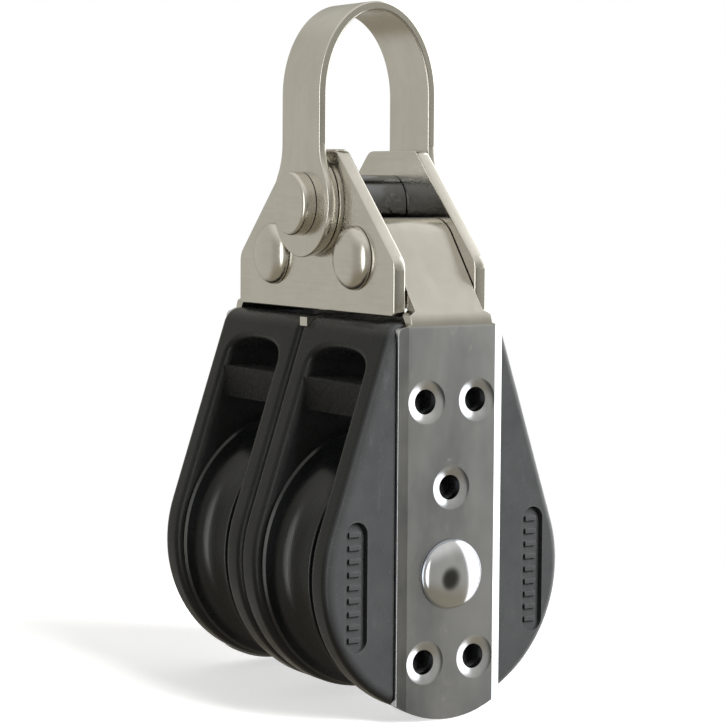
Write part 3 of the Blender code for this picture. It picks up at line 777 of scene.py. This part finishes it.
def cut_for_centre_plate(shell, reach):
    """Cuts the seat of the load plate's tab, neck and round boss."""
    plate_low, plate_high = extent("centre_plate")
    far = plate_high.x + GAP
    tab = block("tab", (-CLEAR, -reach, plate_high.z - TAB_DEPTH), (far, reach, plate_high.z + CLEAR))
    keep_low = (-CLEAR, plate_low.y - TAB_SIDE_GAP, -reach)
    keep_high = (far, plate_high.y + TAB_SIDE_GAP, plate_high.z + TAB_TOP_GAP)
    carve(tab, block("keep_tab", keep_low, keep_high), "INTERSECT")
    carve(shell, tab)
    neck_high = (far, PLATE_NECK_HALF, plate_high.z - PLATE_NECK_DROP)
    carve(shell, block("neck", (-CLEAR, -PLATE_NECK_HALF, 0), neck_high))
    carve(shell, prism("boss", circle((0, 0), SHEAVE_HUB_RADIUS), "X", -CLEAR, far))


def build_shell(side, sign):
    """One shell: two cheeks with the rope bay between them, joined by the head web."""
    low, high = extent(f"shell_{side}")
    inner, outer = sorted((abs(low.x), abs(high.x)))
    radius, top = high.y, high.z
    reach = radius + CLEAR
    sheave_low, sheave_high = extent(f"sheave_{side}")
    middle = (sheave_low.x + sheave_high.x) / 2
    strap_low, strap_high = extent(f"strap_{side}")
    strap_outer = max(abs(strap_low.x), abs(strap_high.x))
    channel_half = strap_high.y + GAP

    def in_bay(point):
        return abs(point.x - middle) < BAY_HALF_WIDTH + NEAR

    def depth(point):
        return depth_under(point.y, point.z, radius, top)

    near, far = span(sign, inner, outer)
    shell = prism(f"cheek_{side}", teardrop(radius, top), "X", near, far)
    round_edges(shell, lambda ends, faces: all_at(ends, 0, outer), CHEEK_FILLET, segments=7)
    round_edges(shell, lambda ends, faces: all_at(ends, 0, inner), SEAM_FILLET, segments=4)
    cut_bay(shell, middle, in_bay, depth, reach)
    cut_for_strap(shell, sign, strap_outer, channel_half, reach, top)
    cut_recesses(shell, side, sign, outer, channel_half)
    near, far = span(sign, -CLEAR, outer + CLEAR)
    carve(shell, prism("bore", circle((0, 0), AXLE_BORE), "X", near, far))
    if sign > 0:
        cut_for_centre_plate(shell, reach)

    shell.data.materials.clear()
    shell.data.materials.append(NYLON)
    shell.data.materials.append(NYLON_WEB_PAINTED_SHADE)
    # Faces on the head web deep in the bay take the second nylon, whose far darker tones paint the
    # shade there
    for face in shell.data.polygons:
        spot = from_frame(face.center)
        at_web = WEB_BOTTOM_Z - WEB_SHADE_MARGIN_Z < spot.z < LEDGE_Z + WEB_SHADE_MARGIN_Z
        at_web = at_web and abs(spot.y) > WEB_HALF_DEPTH - WEB_SHADE_MARGIN_Y
        if at_web and in_bay(spot) and depth(spot) > WEB_SHADE_MIN_DEPTH:
            face.material_index = 1
    finish_piece(shell, "block", f"shell_{side}", None)


# ---------------------------------------------------------------- straps


def strap_profile(outer, eye_x, eye_z, eye_radius):
    """Strap edge-on in (x, z): up the cheek, in at the bend and round the rivet bush."""
    middle_x = outer - STRAP_THICKNESS / 2
    dx = middle_x - eye_x
    dz = BEND_Z - eye_z
    touch = math.degrees(math.atan2(dz, dx) + math.acos(eye_radius / math.hypot(dx, dz)))
    path = [(middle_x, -outer - CLEAR)]
    start_z = BEND_Z - BEND_RADIUS * math.tan(math.radians(touch) / 2)
    path += arc((middle_x - BEND_RADIUS, start_z), BEND_RADIUS, 0, touch, BEND_STEPS)
    path += arc((eye_x, eye_z), eye_radius, touch, touch + EYE_SWEEP_DEG, EYE_STEPS)
    sides = ([], [])
    for i, (x, z) in enumerate(path):
        before = path[max(i - 1, 0)]
        after = path[min(i + 1, len(path) - 1)]
        first = math.atan2(z - before[1], x - before[0]) if i else None
        second = math.atan2(after[1] - z, after[0] - x) if i < len(path) - 1 else first
        first = second if first is None else first
        bend = (second - first + math.pi) % (2 * math.pi) - math.pi
        heading = first + bend / 2
        offset = STRAP_THICKNESS / 2 / math.cos(bend / 2)
        for points, way in zip(sides, (1, -1)):
            aside = way * offset
            points.append((x + aside * math.sin(heading), z - aside * math.cos(heading)))
    return sides[0] + sides[1][::-1]


def strap_front(half_width, bottom, top):
    """Strap face-on in (y, z): round foot, wide cheek part, shoulders and a tapering neck."""
    foot_radius = FOOT_CENTRE_Z - bottom
    foot = math.degrees(math.acos(half_width / foot_radius))
    half = arc((0, FOOT_CENTRE_Z), foot_radius, -90, -foot, FOOT_STEPS)
    corner = (half_width - SHOULDER_CORNER, STRAP_SHOULDER_Z - SHOULDER_CORNER)
    half += arc(corner, SHOULDER_CORNER, 0, 90, SHOULDER_STEPS)
    half += [(NECK_BASE_HALF, STRAP_SHOULDER_Z + SHOULDER_RISE), (NECK_BASE_HALF, NECK_TAPER_Z)]
    half += [(NECK_HALF_WIDTH, NECK_Z), (NECK_HALF_WIDTH, top + CLEAR)]
    return mirrored(half)


def sink_profile(sign):
    """Hole along X in a shallow dish whose slope steepens into the bore."""
    flare = (SINK_RADIUS - HOLE_RADIUS) / SINK_DEPTH * CLEAR
    points = [(0, CLEAR), (SINK_RADIUS + flare, CLEAR), (SINK_RADIUS, 0)]
    for i in range(1, SINK_STEPS + 1):
        share = i / SINK_STEPS
        radius = SINK_RADIUS + (HOLE_RADIUS - SINK_RADIUS) * share
        points.append((radius, -SINK_DEPTH * share**SINK_CURVE))
    points += [(HOLE_RADIUS, -STRAP_THICKNESS - CLEAR), (0, -STRAP_THICKNESS - CLEAR)]
    return [(radius, sign * height) for radius, height in points]


def build_strap(side, sign):
    """A side strap: bent strip with coined edges, five sunk holes and an eye on the head rivet."""
    low, high = extent(f"strap_{side}")
    outer = max(abs(low.x), abs(high.x))
    rivet_low, rivet_high = extent(f"rivet_bush_{side}")
    eye_x = abs(rivet_low.x + rivet_high.x) / 2
    eye_z = (rivet_low.z + rivet_high.z) / 2
    eye_radius = high.z - eye_z - STRAP_THICKNESS / 2
    outline = [(sign * x, z) for x, z in strap_profile(outer, eye_x, eye_z, eye_radius)]
    strap = prism(f"side_strap_{side}", outline, "Y", low.y - CLEAR, high.y + CLEAR)
    near, far = span(sign, GAP, outer + CLEAR)
    carve(strap, prism("keep", strap_front(high.y, low.z, high.z), "X", near, far), "INTERSECT")
    slope = COIN_DEPTH / COIN_WIDTH
    for _, way in ENDS:
        crease = high.y - COIN_WIDTH
        wedge = [(outer + slope, crease - 1), (outer - COIN_DEPTH - slope, high.y + 1)]
        wedge += [(outer + CLEAR, high.y + 1), (outer + CLEAR, crease - 1)]
        wedge = [(sign * x, way * y) for x, y in wedge]
        carve(strap, prism("coin", wedge, "Z", low.z - CLEAR, high.z))

    def outside(face):
        spot, normal = face
        if spot.z < BEND_Z - 1.0:
            return normal.x * sign > 0.5
        away = (spot.x - sign * eye_x) * normal.x + (spot.z - eye_z) * normal.z
        return away > 0 and abs(normal.y) < 0.1

    def at_border(ends, faces):
        return outside(faces[0]) != outside(faces[1])

    round_edges(strap, at_border, STRAP_EDGE)
    for y, z in strap_holes():
        centre = (sign * outer, y, z)
        carve(strap, turned("hole", sink_profile(sign), "X", centre, HOLE_SIDES))
    near, far = span(sign, eye_x, outer + CLEAR)
    carve(strap, prism("bore", circle((0, 0), AXLE_BORE), "X", near, far))
    strap.data.materials.clear()
    strap.data.materials.append(POLISHED)
    strap.data.materials.append(NECK_PAINTED_REFLECTION)
    # Faces above the shoulders take the neck's beige satin copy, which paints the reflection of the
    # warm light above
    for face in strap.data.polygons:
        if from_frame(face.center).z > STRAP_SHOULDER_Z + SHOULDER_RISE / 2:
            face.material_index = 1
    finish_piece(strap, "block", f"strap_{side}", None, CREASE)


# ---------------------------------------------------------------- turned pieces


def domed_pin(radius, half_grip, head_radius, head_height):
    """Profile of a pin with a head at each end that curves from its crown to an upright rim."""
    half = []
    for i in range(DOME_STEPS + 1):
        angle = math.pi / 2 * i / DOME_STEPS
        half.append((head_radius * math.sin(angle), half_grip + head_height * math.cos(angle)))
    half.append((radius, half_grip))
    return half + [(r, -z) for r, z in reversed(half)]


def build_domed(name, node, axis, radius, seat, material):
    """A pin with a domed head at each end. seat is how far from the middle its heads bear."""
    low, high = extent(node)
    centre = (low + high) / 2
    half = (high - low) / 2
    length, head = (half.x, half.z) if axis == "X" else (half.y, half.z)
    pin = turned(name, domed_pin(radius, seat, head, length - seat), axis, centre)
    finish_piece(pin, "block", node, material)


def build_ring(name, node, axis, bore, body, material, edge=RING_EDGE):
    """A washer, bush or tube with its outer edges chamfered."""
    low, high = extent(node)
    centre = (low + high) / 2
    half = (high - low) / 2
    length, radius = (half.x, half.z) if axis == "X" else (half.y, half.z)
    profile = [(radius - edge, length), (radius, length - edge), (radius, edge - length)]
    profile += [(radius - edge, -length), (bore, -length), (bore, length)]
    finish_piece(turned(name, profile, axis, centre, closed=True), body, node, material)


def sheave_profile(radius, half):
    """Sheave in (radius, width): hub, dished web and rim on each side of a round groove."""
    mouth = half - FLANGE_TIP
    rim = radius - RIM_STEP
    groove = []
    for i in range(GROOVE_STEPS + 1):
        angle = math.pi * i / GROOVE_STEPS
        depth = (rim - GROOVE_ROOT_RADIUS) * math.sin(angle) ** GROOVE_FULLNESS
        groove.append((rim - depth, mouth * math.cos(angle)))
    web = SHEAVE_WEB_HALF_WIDTH
    upper = [(SHEAVE_HUB_RADIUS, half), (SHEAVE_HUB_RADIUS + SHEAVE_HUB_SLOPE, web)]
    upper += [(SHEAVE_WEB_RADIUS, web), (SHEAVE_FACE_RADIUS, half)]
    corner = (radius - FLANGE_ROUND, half - FLANGE_ROUND)
    upper += arc(corner, FLANGE_ROUND, 90, 0, FLANGE_STEPS)
    lower = [(r, -z) for r, z in reversed(upper)]
    return [(SHEAVE_BORE, half)] + upper + groove + lower + [(SHEAVE_BORE, -half)]


def build_sheave(side):
    low, high = extent(f"sheave_{side}")
    profile = sheave_profile(high.z, (high.x - low.x) / 2)
    centre = ((low.x + high.x) / 2, 0, 0)
    sheave = turned(f"wheel_{side}", profile, "X", centre, SHEAVE_SIDES, closed=True)
    finish_piece(sheave, f"sheave_{side}", f"sheave_{side}", NYLON_SHEAVE)


# ---------------------------------------------------------------- head and bow


def build_head_plates():
    """Two tapering plates, drilled for both rivets and the pivot pin."""
    for end, _ in ENDS:
        low, high = extent(f"head_plate_{end}")
        right = [
            (high.x, low.z, PLATE_FOOT_CORNER),
            (high.x, PLATE_KNEE_Z, PLATE_KNEE_CORNER),
            (PLATE_TOP_HALF, high.z, PLATE_TOP_CORNER),
        ]
        outline = rounded(right + [(-x, z, radius) for x, z, radius in reversed(right)])
        plate = prism(f"plate_{end}", outline, "Y", low.y, high.y)
        round_edges(plate, lambda ends, faces: any(abs(n.y) > 0.9 for _, n in faces), PLATE_EDGE)
        pins = [(f"head_rivet_{side}", RIVET_RADIUS) for side, _ in SIDES]
        for node, radius in pins + [("pivot_pin", PIN_RADIUS)]:
            pin_low, pin_high = extent(node)
            spot = (pin_low + pin_high) / 2
            hole = circle((spot.x, spot.z), radius + GAP)
            carve(plate, prism("drill", hole, "Y", low.y - CLEAR, high.y + CLEAR))
        finish_piece(plate, "block", f"head_plate_{end}", SATIN)


def build_pin():
    """The pivot pin, with a flat head at each end that is rounded at its edge."""
    low, high = extent("pivot_pin")
    grip = extent("bow")[1].y + GAP
    centre = (low + high) / 2
    radius = (high.x - low.x) / 2
    edge = (radius - PIN_HEAD_EDGE, high.y - PIN_HEAD_EDGE)
    half = [(0, high.y), (radius / 2, high.y)] + arc(edge, PIN_HEAD_EDGE, 90, 0, PIN_EDGE_STEPS)
    half += [(radius, grip), (PIN_RADIUS, grip)]
    profile = half + [(r, -z) for r, z in reversed(half)]
    finish_piece(turned("bow_pin", profile, "Y", centre), "block", "pivot_pin", SATIN)


def build_bow():
    """Flat strip bent into an arch, with a rounded ear at each end on the pivot pin."""
    low, high = extent("bow")
    pin_low, pin_high = extent("pivot_pin")
    pin_z = (pin_low.z + pin_high.z) / 2
    centre = (0, 0, pin_z)
    ear = (high.x - low.x) / 2
    height = high.z - BOW_ARCH_Z
    spring = BOW_ARCH_Z - pin_z
    faces = []
    for inset in (0, BOW_THICKNESS):
        face = [(high.y - inset, -ear - CLEAR)]
        for i in range(BOW_ARCH_STEPS + 1):
            angle = math.pi / 2 * i / BOW_ARCH_STEPS
            y = (high.y - inset) * math.cos(angle)
            face.append((y, spring + (height - inset) * math.sin(angle)))
        faces.append(face)
    outer, inner = faces
    outline = outer + [(-y, z) for y, z in reversed(outer[:-1])]
    outline += [(-y, z) for y, z in inner] + list(reversed(inner[:-1]))
    bow = prism("hanging_bow", outline, "X", -ear - CLEAR, ear + CLEAR, centre)
    rise = math.sqrt((ear + EAR_FILLET) ** 2 - (BOW_HALF_WIDTH + EAR_FILLET) ** 2)
    join = math.degrees(math.atan2(rise, BOW_HALF_WIDTH + EAR_FILLET))
    half = arc((0, 0), ear, -90, join, EAR_ARC_STEPS)
    fillet = (BOW_HALF_WIDTH + EAR_FILLET, rise)
    half += arc(fillet, EAR_FILLET, 180 + join, 180, EAR_FILLET_STEPS)[1:]
    half += [(BOW_HALF_WIDTH, high.z - pin_z + CLEAR)]
    keep = prism("keep", mirrored(half), "Y", low.y - CLEAR, high.y + CLEAR, centre)
    carve(bow, keep, "INTERSECT")
    round_edges(bow, lambda ends, faces: True, BOW_EDGE)
    hole = circle((0, 0), PIN_RADIUS + EAR_GAP)
    carve(bow, prism("hole", hole, "Y", low.y - CLEAR, high.y + CLEAR, centre))
    finish_piece(bow, "bow", "bow", SATIN_BOW)


# ---------------------------------------------------------------- stage


def build_stage():
    """A pale floor round the block that fades out into the white studio."""
    material, tree, shader = new_material("pale_floor")
    tone = blend_colour(tree, noise(tree, 6, 3, 0.5), *FLOOR_TONES)
    tree.links.new(tone, shader.inputs["Base Color"])
    shader.inputs["Roughness"].default_value = 0.9
    place = add(tree, "ShaderNodeTexCoord").outputs["Object"]
    away = tree.nodes.new("ShaderNodeVectorMath")
    away.operation = "LENGTH"
    tree.links.new(place, away.inputs[0])
    near = spread(tree, away.outputs["Value"], FLOOR_FADE[0], FLOOR_FADE[1], 1.0, 0.0)
    seen = add(tree, "ShaderNodeLightPath").outputs["Is Camera Ray"]
    tree.links.new(calc(tree, "MULTIPLY", near, seen), shader.inputs["Alpha"])
    shader.inputs["Emission Color"].default_value = (1.0, 1.0, 1.0, 1.0)
    shader.inputs["Emission Strength"].default_value = FLOOR_GLOW
    solid = bmesh.new()
    outline = circle((0, 0), FLOOR_RADIUS)
    solid.faces.new([solid.verts.new((x * MM, y * MM, 0)) for x, y in outline])
    floor = from_bmesh("floor", solid)
    floor.location.z = cad_low.z - FLOOR_GAP * MM
    floor.data.materials.append(material)


def towards(azimuth, elevation):
    """Unit vector to a place round the object: azimuth from -Y towards +X, both in degrees."""
    a, e = math.radians(azimuth), math.radians(elevation)
    return Vector((math.sin(a) * math.cos(e), -math.cos(a) * math.cos(e), math.sin(e)))


def build_key_light(target):
    """A large softbox that lights matte surfaces only, so that no steel face mirrors it."""
    light = bpy.data.lights.new("key", "AREA")
    light.shape = "RECTANGLE"
    light.size, light.size_y = KEY_SIZE
    light.energy = KEY_POWER
    back = towards(KEY_AZIMUTH, KEY_ELEVATION)
    softbox = bpy.data.objects.new("key", light)
    bpy.context.scene.collection.objects.link(softbox)
    softbox.location = target + back * KEY_DISTANCE
    softbox.rotation_euler = back.to_track_quat("Z", "Y").to_euler()
    softbox.visible_glossy = False


def compass(heading, lift=0.0):
    """Unit vector at a heading from +X towards +Y, raised by lift, both in degrees."""
    flat = math.cos(math.radians(lift))
    across = (flat * math.cos(math.radians(heading)), flat * math.sin(math.radians(heading)))
    return Vector((*across, math.sin(math.radians(lift))))


def glow(tree, ray, centre, inner, outer, tall=1.0):
    """1 within inner degrees of a direction, fading to 0 at outer degrees, and tall times as high."""
    flat = tree.nodes.new("ShaderNodeVectorMath")
    flat.operation = "MULTIPLY"
    tree.links.new(ray, flat.inputs[0])
    flat.inputs[1].default_value = (1, 1, 1 / tall)
    unit = tree.nodes.new("ShaderNodeVectorMath")
    unit.operation = "NORMALIZE"
    tree.links.new(flat.outputs["Vector"], unit.inputs[0])
    dot = tree.nodes.new("ShaderNodeVectorMath")
    dot.operation = "DOT_PRODUCT"
    tree.links.new(unit.outputs["Vector"], dot.inputs[0])
    dot.inputs[1].default_value = Vector((centre.x, centre.y, centre.z / tall)).normalized()
    low, high = math.cos(math.radians(outer)), math.cos(math.radians(inner))
    return spread(tree, dot.outputs["Value"], low, high)


def build_studio():
    """Light by direction for what the block mirrors, and plain white for what the camera sees."""
    world = bpy.data.worlds.new("studio")
    bpy.context.scene.world = world
    world.use_nodes = True
    tree = world.node_tree
    ray = add(tree, "ShaderNodeTexCoord").outputs["Generated"]
    above = glow(tree, ray, compass(0, 90), *STUDIO_TOP_SPREAD)
    light = blend_colour(tree, above, STUDIO_SIDE, STUDIO_TOP)
    below = glow(tree, ray, compass(0, -90), *STUDIO_BELOW_SPREAD)
    light = blend_colour(tree, below, light, STUDIO_BELOW)
    for heading, lift, inner, outer, tall, colour in STUDIO_PATCHES:
        share = glow(tree, ray, compass(heading, lift), inner, outer, tall)
        light = blend_colour(tree, share, light, colour)
    path = add(tree, "ShaderNodeLightPath")
    light = blend_colour(tree, path.outputs["Is Camera Ray"], light, (1.0, 1.0, 1.0))
    background = tree.nodes["Background"]
    tree.links.new(light, background.inputs["Color"])
    matte = path.outputs["Is Diffuse Ray"]
    tree.links.new(spread(tree, matte, 0.0, 1.0, 1.0, DIFFUSE_SHARE), background.inputs["Strength"])
    build_key_light(Vector((0, 0, (cad_low.z + cad_high.z) / 2)))


def build_camera():
    """Camera at the object's photographed angle."""
    target = to_frame(CAMERA_TARGET)
    back = towards(CAMERA_AZIMUTH, CAMERA_ELEVATION)
    roll = math.radians(CAMERA_ROLL)
    right = Vector((0, 0, 1)).cross(back).normalized()
    up = back.cross(right)
    tilted = right * math.cos(roll) + up * math.sin(roll)
    over = up * math.cos(roll) - right * math.sin(roll)
    data = bpy.data.cameras.new("camera")
    data.sensor_width = CAMERA_SENSOR
    data.lens = CAMERA_LENS
    data.shift_x, data.shift_y = CAMERA_SHIFT
    data.clip_start = 0.01
    camera = bpy.data.objects.new("camera", data)
    bpy.context.scene.collection.objects.link(camera)
    turn = Matrix((tilted, over, back)).transposed().to_4x4()
    camera.matrix_world = Matrix.Translation(target + back * CAMERA_DISTANCE * MM) @ turn
    bpy.context.scene.camera = camera


for side, sign in SIDES:
    build_shell(side, sign)
    build_strap(side, sign)
    build_sheave(side)
    bush = f"sheave_bush_{side}"
    build_ring(f"bush_{side}", bush, "X", BUSH_BORE, f"sheave_{side}", BRONZE)
    for place in ("outer", "inner"):
        name = f"thrust_ring_{side}_{place}"
        node = f"thrust_washer_{side}_{place}"
        build_ring(name, node, "X", AXLE_BORE, "block", SATIN, THRUST_EDGE)
    rivet = f"head_rivet_{side}"
    build_domed(f"rivet_{side}", rivet, "Y", RIVET_RADIUS, RIVET_SEAT, SATIN)
    build_ring(f"rivet_tube_{side}", f"rivet_bush_{side}", "Y", TUBE_BORE, "block", SATIN)
strap_face = extent("strap_right")[1].x + GAP
build_domed("axle", "axle_pin", "X", AXLE_RADIUS, strap_face, MIRROR)
build_head_plates()
build_pin()
build_ring("pin_tube", "pivot_spacer", "Y", TUBE_BORE, "block", SHADED)
for end, _ in ENDS:
    node = f"ear_washer_{end}"
    build_ring(f"ear_ring_{end}", node, "Y", TUBE_BORE, "block", SATIN, EAR_RING_EDGE)
build_bow()
# The load plate shows only as a spot at the seam, so it keeps its CAD shape
plate = frame["nodes"]["centre_plate"]
plate.data.materials.clear()
plate.data.materials.append(SATIN)
build_stage()
build_studio()
build_camera()
bpy.context.scene.view_settings.view_transform = "Standard"
